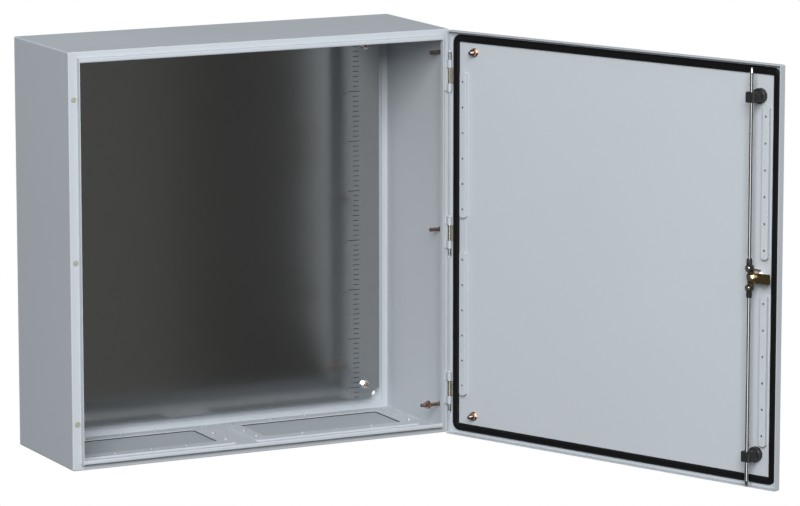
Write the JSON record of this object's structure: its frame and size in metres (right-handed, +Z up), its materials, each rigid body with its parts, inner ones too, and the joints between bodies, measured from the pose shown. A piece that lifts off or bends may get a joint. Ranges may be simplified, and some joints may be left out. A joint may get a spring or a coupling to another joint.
{
  "type": "steel wall enclosure",
  "caption": "Square sheet-steel wall enclosure with galvanised mounting plate, flat gasketed door on concealed pin hinges, and a quarter-turn cam lock driving locking rods.",
  "frame": {"origin": "middle of the four wall fixing holes, on the rear face", "axes": "+X to the hinge side, +Y out of the back towards the wall, +Z up"},
  "size_m": [1.1093, 1.0181, 0.803],
  "materials": {
    "painted_steel": "light grey powder coat with a fine orange-peel texture, satin",
    "galvanised_plate": "hot-dip galvanised sheet, smooth and reflective, blurred reflections",
    "coppered_steel": "thin copper plating on steel, dulled",
    "yellow_passivated_steel": "zinc plated and yellow passivated, satin",
    "zinc_plated_steel": "bright zinc plating, slightly warm",
    "black_plastic": "black glass-filled moulding, fine grain",
    "foamed_seal": "foamed-in-place polyurethane, matt black skin",
    "seal_rubber": "black cellular rubber",
    "plug_plastic": "greenish beige moulded plastic, matt"
  },
  "bodies": {
    "enclosure": {"body_wrap": "painted_steel", "gland_gasket_left": "seal_rubber", "gland_gasket_right": "seal_rubber", "gland_plate_left": "painted_steel", "gland_plate_right": "painted_steel", "gland_screws_left": "zinc_plated_steel", "gland_screws_right": "zinc_plated_steel", "hinge_blanking_plugs": "plug_plastic", "hinge_bracket_bolts": "zinc_plated_steel", "hinge_bracket_bottom": "painted_steel", "hinge_bracket_middle": "painted_steel", "hinge_bracket_top": "painted_steel", "hinge_pin_bottom": "zinc_plated_steel", "hinge_pin_middle": "zinc_plated_steel", "hinge_pin_top": "zinc_plated_steel", "mounting_plate": "galvanised_plate", "plate_nuts": "zinc_plated_steel", "plate_studs": "coppered_steel", "plate_washers": "zinc_plated_steel", "rear_panel": "painted_steel", "side_earth_nut": "coppered_steel", "side_earth_washer": "coppered_steel", "side_studs_left": "coppered_steel", "side_studs_right": "coppered_steel"},
    "door": {"door_earth_nuts": "coppered_steel", "door_earth_studs": "coppered_steel", "door_earth_washers": "coppered_steel", "door_gasket": "foamed_seal", "door_panel": "painted_steel", "guide_studs": "zinc_plated_steel", "hinge_barrel_bottom": "zinc_plated_steel", "hinge_barrel_middle": "zinc_plated_steel", "hinge_barrel_top": "zinc_plated_steel", "lock_gasket": "seal_rubber", "lock_housing": "zinc_plated_steel", "lock_ring_nut": "zinc_plated_steel", "rail_hinge_link": "painted_steel", "rail_hinge_lower": "painted_steel", "rail_hinge_upper": "painted_steel", "rail_lock_lower": "painted_steel", "rail_lock_upper": "painted_steel", "rod_guide_lower": "black_plastic", "rod_guide_upper": "black_plastic"},
    "lock_cam": {"lock_insert": "zinc_plated_steel", "cam_tongue": "yellow_passivated_steel", "crank_plate": "yellow_passivated_steel", "crank_pins": "yellow_passivated_steel", "cam_screw": "zinc_plated_steel"},
    "upper_rod_arm": {"upper_rod": "zinc_plated_steel", "upper_rod_end": "black_plastic"},
    "lower_rod_arm": {"lower_rod": "zinc_plated_steel", "lower_rod_end": "black_plastic"}
  },
  "joints": [
    {"name": "door_swing", "type": "hinge", "parent": "enclosure", "child": "door", "pos_m": [0.396, -0.2815, 0], "axis": [0, 0, 1], "range_deg": [-112.8, 17.2]},
    {"name": "lock_turn", "type": "hinge", "parent": "door", "child": "lock_cam", "pos_m": [0.66075, -0.97402, 0], "axis": [-0.9219, -0.3875, 0], "range_deg": [0, 90]},
    {"name": "upper_rod_link", "type": "hinge", "parent": "lock_cam", "child": "upper_rod_arm", "pos_m": [0.66075, -0.97402, 0.0185], "axis": [-0.9219, -0.3875, 0], "range_deg": [-94, 0]},
    {"name": "lower_rod_link", "type": "hinge", "parent": "lock_cam", "child": "lower_rod_arm", "pos_m": [0.66075, -0.97402, -0.0185], "axis": [-0.9219, -0.3875, 0], "range_deg": [-94, 0]}
  ],
  "couplings": [
    {"joint": "upper_rod_link", "follows": "lock_turn", "ratio": -1.0405},
    {"joint": "lower_rod_link", "follows": "lock_turn", "ratio": -1.0405}
  ]
}
